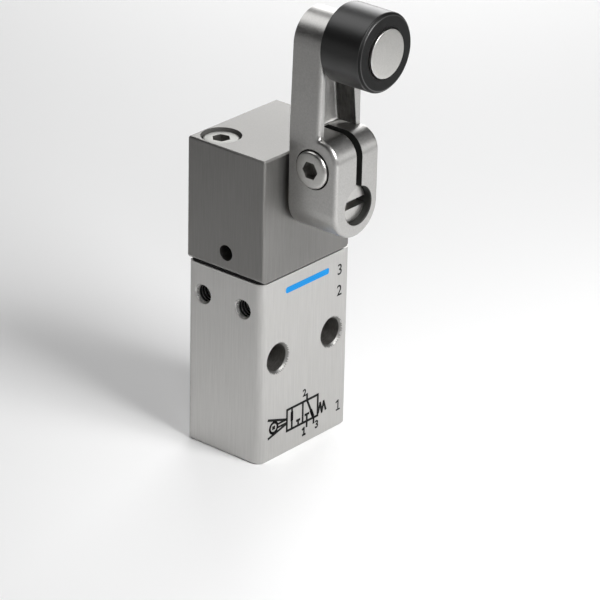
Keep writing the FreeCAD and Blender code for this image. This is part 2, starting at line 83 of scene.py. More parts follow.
# Where a thread's flat crest ends and its flat root starts and ends, as shares of the pitch
CREST_END = 0.25
ROOT_START = 0.55
ROOT_END = 0.7
# Turns made before the mouth and cut off again, how far outside the face the cut lies, and the depth
# down to which a side thread is left unpainted; deeper, its wall is painted shade
LEAD_TURNS = 2
MOUTH_LIFT = 0.05
UNSHADED_DEPTH = 1.3

# Points nearer than this are one, and facets that meet at less than this many degrees lie in one face
MERGE = 0.0005
FLAT_ANGLE = 0.3

# Sockets of the Mix node that carry colours, the span that noise mostly keeps to, and the relief's depth
MIX_FIRST = 6
MIX_SECOND = 7
MIX_RESULT = 2
NOISE_LOW = 0.35
NOISE_HIGH = 0.65
RELIEF_DEPTH = 0.02

# Edges sharper than this many degrees stay crisp. Facets of a small rounding and of a full turn
SHARP_ANGLE = 32.0
ROUND_SEGMENTS = 4
TURN_STEPS = 96

# How far a face may lie from the surface that it is told by
NEAR = 0.02
CREST_SKIN = 0.05
SCREW_SKIN = 0.1
BORE_SKIN = 0.35
COUNTERBORE_SKIN = 0.4

# A face runs along an axis, leans or crosses it by the share of its normal that lies along that axis
ALONG = 0.3
LEANING = 0.5
ACROSS = 0.9
SQUARE_ACROSS = 0.97
CHAMFER_LEAST = 0.65
CHAMFER_MOST = 0.75
WALL_TURN = 0.6
FLOOR_TURN = 0.7

# Roller and its pin
ROLLER_BORE = 2.53
ROLLER_RIM = 0.5
RIM_ROUND = 0.14
BACK_ROUND = 0.25
RECESS_ROUND = 0.08
ROLLER_RECESS = 0.3
ROLLER_RECESS_GAP = 0.32
PIN_RADIUS = 2.5
PIN_DOME = 0.12
PIN_DOME_POINTS = 6
PIN_ROUND = 0.12
PIN_END_PLAY = 0.05
PIN_TAIL = 0.7
PIN_TAIL_RADIUS = 3.2

# Body and head
MOUNTING_BORE = 2.65
HEAD_EDGE = 0.8
COUNTERBORE_DEPTH = 5.0

# Lever: the slit and the clamp screw's mouth, the arm, and the pocket in its front
SLIT_HALF = 0.8
CLAMP_MOUTH = 4.05
ARM_DEPTH = 6.5
HUB_TOP = 13.05
WEB = 2.2
FLOOR_DEPTH = 3.0
POCKET_HEIGHT = 13.5

# The pocket's right wall: its foot and lean, the rounding beside it, and how far foot and top are moved
WALL_FOOT = 4.35
WALL_LEAN = 13.5
WALL_CORNER = 0.65
WALL_FOOT_SHIFT = -0.4
WALL_TOP_SHIFT = 1.4

# M4 cap screws
SCREW_RADIUS = 2.0
SCREW_HEAD_RADIUS = 3.5
SCREW_HEAD_HEIGHT = 4.0
SCREW_HEAD_ROUND = 0.6
SCREW_TIP = 0.4
SOCKET_FLATS = 3.0
SOCKET_DEPTH = 2.0
SOCKET_RADIUS = SOCKET_FLATS / math.sqrt(3)
HEAD_SOCKET_TURN = 15
CLAMP_SOCKET_TURN = 30

# The studio's floor is lit by the lamps near the object and glows further out, and the world is
# pale up to the sine of a low angle above the horizon
PALE = "#f4f4f4"
FLOOR_REACH = 2000
GLOW_START = 250
GLOW_FULL = 1000
GLOW_STRENGTH = 0.4
HORIZON_FULL = 0.09
HORIZON_END = 0.2
SKY_STRENGTH = 0.02

# Marks on the front face
INK_THICKNESS = 0.012
FINEST_DETAIL = 0.01
STROKE_OVERLAP = 0.8
STROKE = 0.5
THIN_STROKE = 0.42
FINE_STROKE = 0.3
ARROW_STROKE = 0.75
RING_POINTS = 20
STRIPE_X = 0.6
STRIPE_Z = 33.0
STRIPE_LENGTH = 12.0
STRIPE_WIDTH = 1.2
STRIPE_ROUND = 0.42
# A figure's height as a share of its type size, and the flag and foot of a 1 as shares of its height
FIGURE_SHARE = 0.7
FLAG_REACH = 0.3
FLAG_DROP = 0.15
FOOT_REACH = 0.25


def node_box(name):
    """Lowest and highest corner of a CAD node in millimetres."""
    low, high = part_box(name)
    return low / MM, high / MM


def linear(code):
    """An sRGB hex colour as linear red, green, blue and alpha."""
    channels = []
    for start in (1, 3, 5):
        value = int(code[start:start + 2], 16) / 255
        if value <= 0.04045:
            channels.append(value / 12.92)
        else:
            channels.append(((value + 0.055) / 1.055) ** 2.4)
    return (*channels, 1.0)


# Materials

def new_material(name):
    """An empty node material and its output."""
    material = bpy.data.materials.new(name)
    material.use_nodes = True
    material.node_tree.nodes.clear()
    output = material.node_tree.nodes.new("ShaderNodeOutputMaterial")
    return material, output


def add(tree, kind, settings=None, inputs=None):
    """Add one shader node with its settings, and its inputs by value or by link."""
    node = tree.nodes.new(kind)
    for name, value in (settings or {}).items():
        setattr(node, name, value)
    for name, value in (inputs or {}).items():
        if isinstance(value, bpy.types.NodeSocket):
            tree.links.new(value, node.inputs[name])
        else:
            node.inputs[name].default_value = value
    return node


def grain_pattern(tree, grain, detail, roughness):
    """Grain drawn to its real size, given in mm along X, Y and Z."""
    place = add(tree, "ShaderNodeTexCoord")
    scaled = add(
        tree,
        "ShaderNodeMapping",
        inputs={"Vector": place.outputs["Object"], "Scale": [1 / (size * MM) for size in grain]},
    )
    return add(
        tree,
        "ShaderNodeTexNoise",
        inputs={
            "Vector": scaled.outputs["Vector"],
            "Scale": 1.0,
            "Detail": detail,
            "Roughness": roughness,
        },
    )


def metal(name, light, dark, grain, roughness, spread, relief):
    """Bare metal, whose grain varies colour, roughness and relief a little."""
    material, output = new_material(name)
    tree = material.node_tree
    noise = grain_pattern(tree, grain, detail=5.0, roughness=0.65)
    tone = add(
        tree,
        "ShaderNodeMapRange",
        inputs={"Value": noise.outputs["Fac"], "From Min": NOISE_LOW, "From Max": NOISE_HIGH},
    )
    colour = add(
        tree,
        "ShaderNodeMix",
        settings={"data_type": "RGBA"},
        inputs={"Factor": tone.outputs["Result"], MIX_FIRST: linear(dark), MIX_SECOND: linear(light)},
    )
    polish = add(
        tree,
        "ShaderNodeMapRange",
        inputs={
            "Value": noise.outputs["Fac"],
            "From Min": NOISE_LOW,
            "From Max": NOISE_HIGH,
            "To Min": roughness - spread,
            "To Max": roughness + spread,
        },
    )
    bump = add(
        tree,
        "ShaderNodeBump",
        inputs={"Strength": relief, "Distance": RELIEF_DEPTH * MM, "Height": noise.outputs["Fac"]},
    )
    shader = add(
        tree,
        "ShaderNodeBsdfPrincipled",
        inputs={
            "Base Color": colour.outputs[MIX_RESULT],
            "Metallic": 1.0,
            "Roughness": polish.outputs["Result"],
            "Normal": bump.outputs["Normal"],
        },
    )
    tree.links.new(shader.outputs["BSDF"], output.inputs["Surface"])
    return material


def plastic(name, light, dark, grain, roughness, relief, gloss=0.5):
    """Plastic, rubber, ink or a dull coat, with faint turning marks or mould grain."""
    material, output = new_material(name)
    tree = material.node_tree
    noise = grain_pattern(tree, grain, detail=4.0, roughness=0.5)
    colour = add(
        tree,
        "ShaderNodeMix",
        settings={"data_type": "RGBA"},
        inputs={"Factor": noise.outputs["Fac"], MIX_FIRST: linear(dark), MIX_SECOND: linear(light)},
    )
    bump = add(
        tree,
        "ShaderNodeBump",
        inputs={"Strength": relief, "Distance": RELIEF_DEPTH * MM, "Height": noise.outputs["Fac"]},
    )
    shader = add(
        tree,
        "ShaderNodeBsdfPrincipled",
        inputs={
            "Base Color": colour.outputs[MIX_RESULT],
            "Roughness": roughness,
            "Specular IOR Level": gloss,
            "Normal": bump.outputs["Normal"],
        },
    )
    tree.links.new(shader.outputs["BSDF"], output.inputs["Surface"])
    return material


# Fine upright brushing under clear anodising: soft light grey with faint upright streaks.
# The real lines are finer than a pixel, so they are drawn about 0.3 mm wide.
BODY_METAL = metal("brushed_anodised_aluminium", "#c6c5c3", "#bab9b7", (0.3, 0.3, 9.0), 0.5, 0.05, 0.3)
# Ground and darker anodised: a greyer, slightly smoother block than the body
HEAD_METAL = metal("ground_dark_anodised_aluminium", "#8a8987", "#7f7e7c", (0.25, 0.25, 7.0), 0.5, 0.04, 0.25)
# Tumbled casting: satin with fine specks and no direction
LEVER_METAL = metal("tumbled_cast_metal", "#bab9b7", "#acaba9", (0.35, 0.35, 0.35), 0.36, 0.05, 0.35)
# Turned and cold headed steel: bright, with a faint speckle
BRIGHT_STEEL = metal("bright_turned_steel", "#c4c3c0", "#bab9b6", (0.3, 0.3, 0.3), 0.32, 0.04, 0.1)
# Drawn wire: grey with lines along the wire, too fine to show, so drawn as specks
SPRING_STEEL = metal("drawn_spring_wire", "#a9a9a9", "#8f8f8f", (0.2, 0.2, 0.2), 0.3, 0.05, 0.1)
# Sintered bronze soaked with oil: dull brown
BRONZE = metal("oil_soaked_bronze", "#6e5c3c", "#5a4a30", (0.2, 0.2, 0.2), 0.45, 0.05, 0.2)
# Turned acetal: deep black, its tread polished by use with fine marks round the wheel
ROLLER_PLASTIC = plastic("turned_black_acetal", "#101010", "#080808", (0.7, 0.12, 0.7), 0.36, 0.5, 0.75)
# The faced-off ends of the same wheel: duller
ROLLER_FACE = plastic("faced_black_acetal", "#121212", "#0a0a0a", (0.15, 0.4, 0.15), 0.5, 0.5, 0.17)
# Moulded nitrile rubber: dull black
RUBBER = plastic("moulded_nitrile_rubber", "#1a1a1a", "#101010", (0.25, 0.25, 0.25), 0.6, 0.2, 0.4)
# Pad printed ink: dense black, hardly glossy
BLACK_INK = plastic("black_pad_print", "#0e0e0e", "#080808", (0.15, 0.15, 0.15), 0.6, 0.05, 0.2)
# The same ink in a clear blue
BLUE_INK = plastic("blue_pad_print", "#0a8ad2", "#0780c6", (0.15, 0.15, 0.15), 0.6, 0.05, 0.2)
# Nearly black, without a shine: painted shade on the walls of bores, slits, deep threads and gaps
BORE_PAINTED_SHADE = plastic("bore_painted_shade", "#2a2a28", "#1c1c1b", (0.4, 0.4, 0.4), 0.6, 0.2, 0.3)
# Wall of a long drilled hole: dull, with the drill's rings, its colour darkened as painted shade where little
# light gets in
DRILLED_WALL_PAINTED_SHADE = metal("drilled_wall_painted_shade", "#9a9895", "#7d7c78", (0.8, 0.25, 0.8), 0.55, 0.05, 0.4)
# Crests of a tapped thread: near white, a painted glint, and a little torn
THREAD_CREST_PAINTED_GLINT = metal("thread_crest_painted_glint", "#f4f4f2", "#dcdcda", (0.15, 0.15, 0.15), 0.35, 0.05, 0.2)
# Floor of the lever's pocket: pale and matt, painted light in the shade of the pocket's walls
POCKET_FLOOR_PAINTED_LIGHT = metal("pocket_floor_painted_light", "#d6d5d3", "#c6c5c3", (0.4, 0.4, 0.4), 0.6, 0.05, 0.4)
# The pocket's steep wall: dark grey, painted shade
POCKET_WALL_PAINTED_SHADE = metal("pocket_wall_painted_shade", "#6a6967", "#4f4e4c", (0.5, 0.5, 1.5), 0.5, 0.05, 0.4)
# Flat matt grey with hardly any shine: painted light on the head's shaded bottom chamfers at front and back,
# and the grey of the walls round its screws
MATT_GREY_PAINTED_LIGHT = plastic("matt_grey_painted_light", "#787775", "#6a6967", (0.3, 0.3, 0.3), 0.6, 0.2, 0.3)
# Pale and matt: painted light on the head's side bottom chamfers, which lie in the head's own shade
SIDE_CHAMFER_PAINTED_LIGHT = plastic("side_chamfer_painted_light", "#a9a8a6", "#9c9b99", (0.3, 0.3, 0.3), 0.6, 0.2, 0.5)
# Zinc plated steel: softer than the bare one
PLATED_STEEL = metal("zinc_plated_steel", "#a3a3a0", "#92928f", (0.25, 0.25, 0.25), 0.5, 0.06, 0.25)

FINISHES = {
    "body_aluminium": BODY_METAL,
    "head_metal": HEAD_METAL,
    "lever_metal": LEVER_METAL,
    "bright_steel": BRIGHT_STEEL,
    "spring_steel": SPRING_STEEL,
    "brass": BRONZE,
    "rubber": RUBBER,
    "roller_plastic": ROLLER_PLASTIC,
}


# Pieces

def turned(corners, axis=Vector((0, 0, 0))):
    """Solid turned about a line along Y. Each corner is (distance from the axis, y, rounding)."""
    bm = bmesh.new()
    profile = [bm.verts.new((radius, y, 0)) for radius, y, _ in corners]
    for pair in zip(profile, profile[1:]):
        bm.edges.new(pair)
    if corners[0][0] > 0:
        bm.edges.new((profile[-1], profile[0]))
    for vert, corner in zip(profile, corners):
        if corner[2]:
            bmesh.ops.bevel(
                bm,
                geom=[vert],
                offset=corner[2],
                offset_type="OFFSET",
                segments=ROUND_SEGMENTS,
                profile=0.5,
                affect="VERTICES",
                material=-1,
            )
    bmesh.ops.spin(
        bm,
        geom=bm.verts[:] + bm.edges[:],
        cent=(0, 0, 0),
        axis=(0, 1, 0),
        angle=FULL_TURN,
        steps=TURN_STEPS,
        use_merge=True,
    )
    bmesh.ops.translate(bm, vec=axis, verts=bm.verts)
    return bm


def new_piece(name, bm, body, material, stands_for=()):
    """Make an object of a mesh built in millimetres, at rest on its body, with flat faces kept flat."""
    bmesh.ops.remove_doubles(bm, verts=bm.verts, dist=MERGE)
    bmesh.ops.recalc_face_normals(bm, faces=bm.faces)
    bmesh.ops.scale(bm, vec=(MM, MM, MM), verts=bm.verts)
    mesh = bpy.data.meshes.new(name)
    bm.to_mesh(mesh)
    bm.free()
    mesh.shade_smooth()
    mesh.set_sharp_from_angle(angle=math.radians(SHARP_ANGLE))
    mesh.materials.append(material)
    piece = bpy.data.objects.new(name, mesh)
    bpy.context.scene.collection.objects.link(piece)
    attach(piece, body)
    if stands_for:
        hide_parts(*stands_for)
    flat = piece.modifiers.new("flat faces", "WEIGHTED_NORMAL")
    flat.keep_sharp = True
    return piece


def merged_copy(node):
    """A CAD node's mesh in millimetres, joined, with the triangles of each flat face made one."""
    bm = bmesh.new()
    bm.from_mesh(nodes[node].data)
    bmesh.ops.scale(bm, vec=(1 / MM, 1 / MM, 1 / MM), verts=bm.verts)
    bmesh.ops.remove_doubles(bm, verts=bm.verts, dist=MERGE)
    bmesh.ops.dissolve_limit(
        bm,
        angle_limit=math.radians(FLAT_ANGLE),
        use_dissolve_boundaries=False,
        verts=bm.verts,
        edges=bm.edges,
    )
    return bm


def dress(node, body):
    """Stand a smooth shaded copy in for a CAD node."""
    slot = slots[node]
    return new_piece(node + "_finished", merged_copy(node), body, FINISHES[slot], [node])


def refinish(piece, material, chosen):
    """Give the faces that pass a test, by centre and normal in millimetres, another finish."""
    piece.data.materials.append(material)
    last = len(piece.data.materials) - 1
    for face in piece.data.polygons:
        if chosen(face.center / MM, face.normal):
            face.material_index = last


def join_into(target, source):
    """Move one mesh into another."""
    mesh = bpy.data.meshes.new("part")
    source.to_mesh(mesh)
    source.free()
    target.from_mesh(mesh)
    bpy.data.meshes.remove(mesh)


def tap_shape(pitch, crest, root, length):
    """Closed shape that a tap cuts, along +Z from a mouth at the origin."""
    bm = bmesh.new()
    one_turn = ((crest, 0), (crest, CREST_END), (root, ROOT_START), (root, ROOT_END))
    profile = []
    for turn in range(-LEAD_TURNS, math.ceil(length / pitch) + 1):
        for radius, rise in one_turn:
            profile.append(bm.verts.new((radius, 0, (turn + rise) * pitch)))
    edges = [bm.edges.new(pair) for pair in zip(profile, profile[1:])]
    bmesh.ops.spin(
        bm,
        geom=profile + edges,
        cent=(0, 0, 0),
        axis=(0, 0, 1),
        dvec=(0, 0, pitch / THREAD_STEPS),
        angle=FULL_TURN,
        steps=THREAD_STEPS,
    )
    bmesh.ops.remove_doubles(bm, verts=bm.verts, dist=MERGE)
    for level, outward in ((-MOUTH_LIFT, -1), (length, 1)):
        cut = bmesh.ops.bisect_plane(
            bm,
            geom=bm.verts[:] + bm.edges[:] + bm.faces[:],
            plane_co=(0, 0, level),
            plane_no=(0, 0, outward),
            clear_outer=True,
        )
        rim = [item for item in cut["geom_cut"] if isinstance(item, bmesh.types.BMEdge)]
        bmesh.ops.edgeloop_fill(bm, edges=rim)
    bmesh.ops.recalc_face_normals(bm, faces=bm.faces)
    return bm


def tap_at(target, pitch, crest, root, mouth, inward):
    """Add a tap's shape to the cutter mesh, at a mouth in millimetres."""
    bm = tap_shape(pitch, crest, root, THREAD_LENGTH)
    turn = Vector((0, 0, 1)).rotation_difference(inward).to_matrix().to_4x4()
    bmesh.ops.transform(bm, matrix=Matrix.Translation(mouth) @ turn, verts=bm.verts)
    join_into(target, bm)


def cut_away(piece, cutter):
    """Take a closed mesh in millimetres out of a piece."""
    bmesh.ops.scale(cutter, vec=(MM, MM, MM), verts=cutter.verts)
    mesh = bpy.data.meshes.new("cutter")
    cutter.to_mesh(mesh)
    cutter.free()
    tool = bpy.data.objects.new("cutter", mesh)
    bpy.context.scene.collection.objects.link(tool)
    cut = piece.modifiers.new("cut", "BOOLEAN")
    cut.operation = "DIFFERENCE"
    cut.solver = "EXACT"
    cut.object = tool
    piece.modifiers.move(len(piece.modifiers) - 1, 0)
    graph = bpy.context.evaluated_depsgraph_get()
    # Only the cut is applied, so the other modifier is switched off meanwhile
    flat = piece.modifiers.get("flat faces")
    flat.show_viewport = False
    graph.update()
    piece.data = bpy.data.meshes.new_from_object(piece.evaluated_get(graph))
    piece.modifiers.remove(cut)
    flat.show_viewport = True
    bpy.data.objects.remove(tool)
    bm = bmesh.new()
    bm.from_mesh(piece.data)
    bmesh.ops.remove_doubles(bm, verts=bm.verts, dist=MERGE * MM)
    bmesh.ops.dissolve_degenerate(bm, edges=bm.edges, dist=MERGE * MM)
    bm.to_mesh(piece.data)
    bm.free()
    piece.data.set_sharp_from_angle(angle=math.radians(SHARP_ANGLE))


def make_valve_body():
    """Body with real threads cut into the two side holes and the three ports."""
    body = dress("valve_body", "valve")
    left_face = node_box("valve_body")[0].x
    right_face = node_box("valve_body")[1].x
    taps = bmesh.new()
    side_centre = Vector(mounts["side_threads"]["pos_m"]) / MM
    side_reach = mounts["side_threads"]["dims"]["spacing_x_mm"] / 2
    for offset in (-side_reach, side_reach):
        mouth = side_centre + Vector((0, offset, 0))
        tap_at(taps, M4_PITCH, M4_CREST, M4_ROOT, mouth, Vector((1, 0, 0)))
    for mount in mounts.values():
        if mount["kind"] == "threaded_hole":
            place = Vector(mount["pos_m"]) / MM
            mouth = Vector((right_face, place.y, place.z))
            tap_at(taps, M5_PITCH, M5_CREST, M5_ROOT, mouth, Vector((-1, 0, 0)))
    cut_away(body, taps)
    hole_centre = Vector(mounts["mounting_holes"]["pos_m"]) / MM
    hole_reach = mounts["mounting_holes"]["dims"]["spacing_x_mm"] / 2

    def from_mounting_hole(spot):
        return math.hypot(abs(spot.x - hole_centre.x) - hole_reach, spot.z - hole_centre.z)

    def from_side_thread(spot):
        return math.hypot(abs(spot.y - side_centre.y) - side_reach, spot.z - side_centre.z)

    def in_mounting_hole(spot, normal):
        return from_mounting_hole(spot) < MOUNTING_BORE + BORE_SKIN and abs(normal.y) < ALONG

    def round_mounting_hole(spot, normal):
        return from_mounting_hole(spot) < MOUNTING_BORE + BORE_SKIN and ALONG < abs(normal.y) < ACROSS

    def in_side_thread(spot, normal):
        depth = spot.x - left_face
        return from_side_thread(spot) < M4_ROOT + BORE_SKIN and UNSHADED_DEPTH < depth < THREAD_LENGTH

    def on_side_crest(spot, normal):
        on_crest = from_side_thread(spot) < M4_CREST + CREST_SKIN and abs(normal.x) < ALONG
        return on_crest and spot.x - left_face < THREAD_LENGTH

    # Painted shade on the mounting holes' walls; their chamfers take the head's darker metal, painted shade
    # that dulls their highlight; painted shade deep in the side threads and a painted glint on their first
    # crests
    refinish(body, DRILLED_WALL_PAINTED_SHADE, in_mounting_hole)
    refinish(body, HEAD_METAL, round_mounting_hole)
    refinish(body, BORE_PAINTED_SHADE, in_side_thread)
    refinish(body, THREAD_CREST_PAINTED_GLINT, on_side_crest)


def make_head():
    """Head housing whose shaded bottom chamfers over the gasket are painted light, with matt grey walls round
    its screws.
    """
    head = dress("head_housing", "valve")
    low, high = node_box("head_housing")
    screw_low, screw_high = node_box("head_screws")
    screws = [
        (screw_low.x + SCREW_HEAD_RADIUS, screw_high.y - SCREW_HEAD_RADIUS),
        (screw_high.x - SCREW_HEAD_RADIUS, screw_low.y + SCREW_HEAD_RADIUS),
    ]

    def bottom_edge(spot, normal):
        return normal.z < -LEANING and spot.z < low.z + HEAD_EDGE

    def side_edge(spot, normal):
        return bottom_edge(spot, normal) and abs(normal.x) > LEANING

    def front_or_back_edge(spot, normal):
        return bottom_edge(spot, normal) and abs(normal.y) > LEANING

    def counterbore(spot, normal):
        away = min(math.hypot(spot.x - x, spot.y - y) for x, y in screws)
        upright = abs(normal.z) < ALONG and spot.z > high.z - COUNTERBORE_DEPTH
        return upright and away < SCREW_HEAD_RADIUS + COUNTERBORE_SKIN

    # The bottom chamfers lie in shade and are painted light: pale at the sides, matt grey at front and back;
    # the counterbores' walls take the same matt grey
    refinish(head, SIDE_CHAMFER_PAINTED_LIGHT, side_edge)
    refinish(head, MATT_GREY_PAINTED_LIGHT, front_or_back_edge)
    refinish(head, MATT_GREY_PAINTED_LIGHT, counterbore)


def make_lever():
    """Lever with an upright pocket wall and a gap round the clamp screw's head; bore, slit and gap are
    painted shade, the pocket's floor painted light and its wall painted shade.
    """
    back_face = node_box("lever")[1].y
    arm_front = back_face - ARM_DEPTH
    pocket_floor_y = back_face - WEB
    shaft_low, shaft_high = node_box("lever_shaft")
    shaft_axis = (shaft_low.z + shaft_high.z) / 2
    bore_radius = (shaft_high.x - shaft_low.x) / 2
    casting = merged_copy("lever")
    lean = math.tan(math.radians(WALL_LEAN))
    for vert in casting.verts:
        spot = vert.co
        height = spot.z - shaft_axis - HUB_TOP
        within_depth = arm_front - NEAR < spot.y < pocket_floor_y + NEAR
        corner = WALL_CORNER if spot.y > arm_front + NEAR else NEAR
        on_wall = -NEAR < WALL_FOOT - lean * height - spot.x < corner
        if within_depth and on_wall and -NEAR < height < POCKET_HEIGHT:
            spot.x += WALL_FOOT_SHIFT + (WALL_TOP_SHIFT - WALL_FOOT_SHIFT) * height / POCKET_HEIGHT
    lever = new_piece("lever_casting", casting, "lever_arm", LEVER_METAL, ["lever"])
    low, high = node_box("clamp_screw")
    rim = turned(
        [
            (0, -SCREW_HEAD_HEIGHT, 0),
            (CLAMP_MOUTH, -SCREW_HEAD_HEIGHT, 0),
            (CLAMP_MOUTH, 0, 0),
            (0, 0, 0),
        ]
    )
    turn = Vector((0, -1, 0)).rotation_difference(Vector((-1, 0, 0))).to_matrix().to_4x4()
    mouth = Vector((low.x + SCREW_HEAD_HEIGHT - NEAR, (low.y + high.y) / 2, (low.z + high.z) / 2))
    bmesh.ops.transform(rim, matrix=Matrix.Translation(mouth) @ turn, verts=rim.verts)
    cut_away(lever, rim)

    def in_bore_or_slit(spot, normal):
        away = math.hypot(spot.x, spot.z - shaft_axis)
        in_bore = abs(away - bore_radius) < BORE_SKIN and abs(normal.y) < ACROSS
        in_slit = abs(spot.x) < SLIT_HALF + NEAR and abs(normal.x) > ACROSS
        return in_bore or in_slit

    def in_pocket(spot):
        return spot.y > arm_front and 0 < spot.z - shaft_axis - HUB_TOP < POCKET_HEIGHT

    def pocket_floor(spot, normal):
        return in_pocket(spot) and normal.y < -FLOOR_TURN and spot.y > arm_front + FLOOR_DEPTH

    def pocket_wall(spot, normal):
        return in_pocket(spot) and normal.x < -WALL_TURN and spot.x > 0

    def round_screw_head(spot, normal):
        away = math.hypot(spot.y - mouth.y, spot.z - mouth.z)
        return away < CLAMP_MOUTH + NEAR and spot.x < mouth.x + SCREW_SKIN and abs(normal.x) < ACROSS

    # Painted shade in the bore, the slit and the gap round the clamp screw's head; the pocket's floor painted
    # light and its right wall painted shade
    refinish(lever, BORE_PAINTED_SHADE, in_bore_or_slit)
    refinish(lever, BORE_PAINTED_SHADE, round_screw_head)
    refinish(lever, POCKET_FLOOR_PAINTED_LIGHT, pocket_floor)
    refinish(lever, POCKET_WALL_PAINTED_SHADE, pocket_wall)


def make_roller():
    """Turned wheel with a chamfer at the front and a shallow recess for the pin's head."""
    low, high = node_box("roller")
    pin_low, pin_high = node_box("roller_pin")
    axis = Vector((0, 0, (high.z + low.z) / 2))
    radius = (high.z - low.z) / 2
    head_radius = (pin_high.x - pin_low.x) / 2
    recess_radius = head_radius + ROLLER_RECESS_GAP
    recess_floor = low.y + ROLLER_RECESS
    wheel = turned(
        [
            (ROLLER_BORE, recess_floor, 0),
            (recess_radius, recess_floor, 0),
            (recess_radius, low.y, RECESS_ROUND),
            (radius - ROLLER_RIM, low.y, RIM_ROUND),
            (radius, low.y + ROLLER_RIM, RIM_ROUND),
            (radius, high.y, BACK_ROUND),
            (ROLLER_BORE, high.y, 0),
        ],
        axis,
    )
    roller = new_piece("roller_wheel", wheel, "roller_wheel", ROLLER_PLASTIC, ["roller"])

    def faced_off(spot, normal):
        return abs(normal.y) > SQUARE_ACROSS or CHAMFER_LEAST < -normal.y < CHAMFER_MOST

    refinish(roller, ROLLER_FACE, faced_off)
    dome = []
    for index in range(PIN_DOME_POINTS):
        distance = head_radius * index / PIN_DOME_POINTS
        dome.append((distance, pin_low.y + PIN_DOME * (distance / head_radius) ** 2, 0))
    pin = turned(
        dome + [
            (head_radius, pin_low.y + PIN_DOME, PIN_ROUND),
            (head_radius, recess_floor - PIN_END_PLAY, 0),
            (PIN_RADIUS, recess_floor - PIN_END_PLAY, 0),
            (PIN_RADIUS, pin_high.y - PIN_TAIL, 0),
            (PIN_TAIL_RADIUS, pin_high.y, 0),
            (0, pin_high.y, 0),
        ],
        axis,
    )
    new_piece("roller_rivet", pin, "lever_arm", BRIGHT_STEEL, ["roller_pin"])


def cap_screws(name, body, seats, outward, length, socket_turn, material):
    """M4 cap screws with a rounded rim and a hexagon socket. A seat is the point under the head."""
    screws = bmesh.new()
    sockets = bmesh.new()
    for seat in seats:
        turn = Vector((0, -1, 0)).rotation_difference(outward).to_matrix().to_4x4()
        place = Matrix.Translation(seat) @ turn
        screw = turned(
            [
                (0, -SCREW_HEAD_HEIGHT, 0),
                (SCREW_HEAD_RADIUS, -SCREW_HEAD_HEIGHT, SCREW_HEAD_ROUND),
                (SCREW_HEAD_RADIUS, 0, 0),
                (SCREW_RADIUS, 0, 0),
                (SCREW_RADIUS, length, SCREW_TIP),
                (0, length, 0),
            ]
        )
        bmesh.ops.transform(screw, matrix=place, verts=screw.verts)
        join_into(screws, screw)
        socket = bmesh.new()
        bmesh.ops.create_cone(
            socket,
            cap_ends=True,
            segments=6,
            radius1=SOCKET_RADIUS,
            radius2=SOCKET_RADIUS,
            depth=2 * SOCKET_DEPTH,
            matrix=Matrix.Translation((0, -SCREW_HEAD_HEIGHT, 0))
            @ Matrix.Rotation(math.pi / 2, 4, "X")
            @ Matrix.Rotation(math.radians(socket_turn), 4, "Z"),
        )
        bmesh.ops.transform(socket, matrix=place, verts=socket.verts)
        join_into(sockets, socket)
    piece = new_piece(name + "_turned", screws, body, material, [name])
    cut_away(piece, sockets)

    def in_socket(spot, normal):
        for seat in seats:
            along = (spot - seat).dot(outward)
            away = (spot - seat - outward * along).length
            if away < SOCKET_RADIUS - SCREW_SKIN and along < SCREW_HEAD_HEIGHT - SCREW_SKIN:
                return True
        return False

    # The sockets' walls are painted shade
    refinish(piece, DRILLED_WALL_PAINTED_SHADE, in_socket)


def make_screws():
    """The two head screws stand in opposite corners of the head, the clamp screw lies across the hub."""
    low, high = node_box("head_screws")
    seat = high.z - SCREW_HEAD_HEIGHT
    seats = [
        Vector((low.x + SCREW_HEAD_RADIUS, high.y - SCREW_HEAD_RADIUS, seat)),
        Vector((high.x - SCREW_HEAD_RADIUS, low.y + SCREW_HEAD_RADIUS, seat)),
    ]
    length = seat - low.z
    cap_screws("head_screws", "valve", seats, Vector((0, 0, 1)), length, HEAD_SOCKET_TURN, PLATED_STEEL)
    low, high = node_box("clamp_screw")
    seat = low.x + SCREW_HEAD_HEIGHT
    seats = [Vector((seat, (low.y + high.y) / 2, (low.z + high.z) / 2))]
    length = high.x - seat
    cap_screws("clamp_screw", "lever_arm", seats, Vector((-1, 0, 0)), length, CLAMP_SOCKET_TURN, BRIGHT_STEEL)


def make_springs():
    """Springs between their seats, each stood in by a smooth shaded copy with a mesh of its own."""
    for joint in frame["record"]["behaviour"]["joints"]:
        for spring in joint.get("deforming_nodes", []):
            name = spring["node"]
            wire = dress(name, "valve")
            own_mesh(wire)


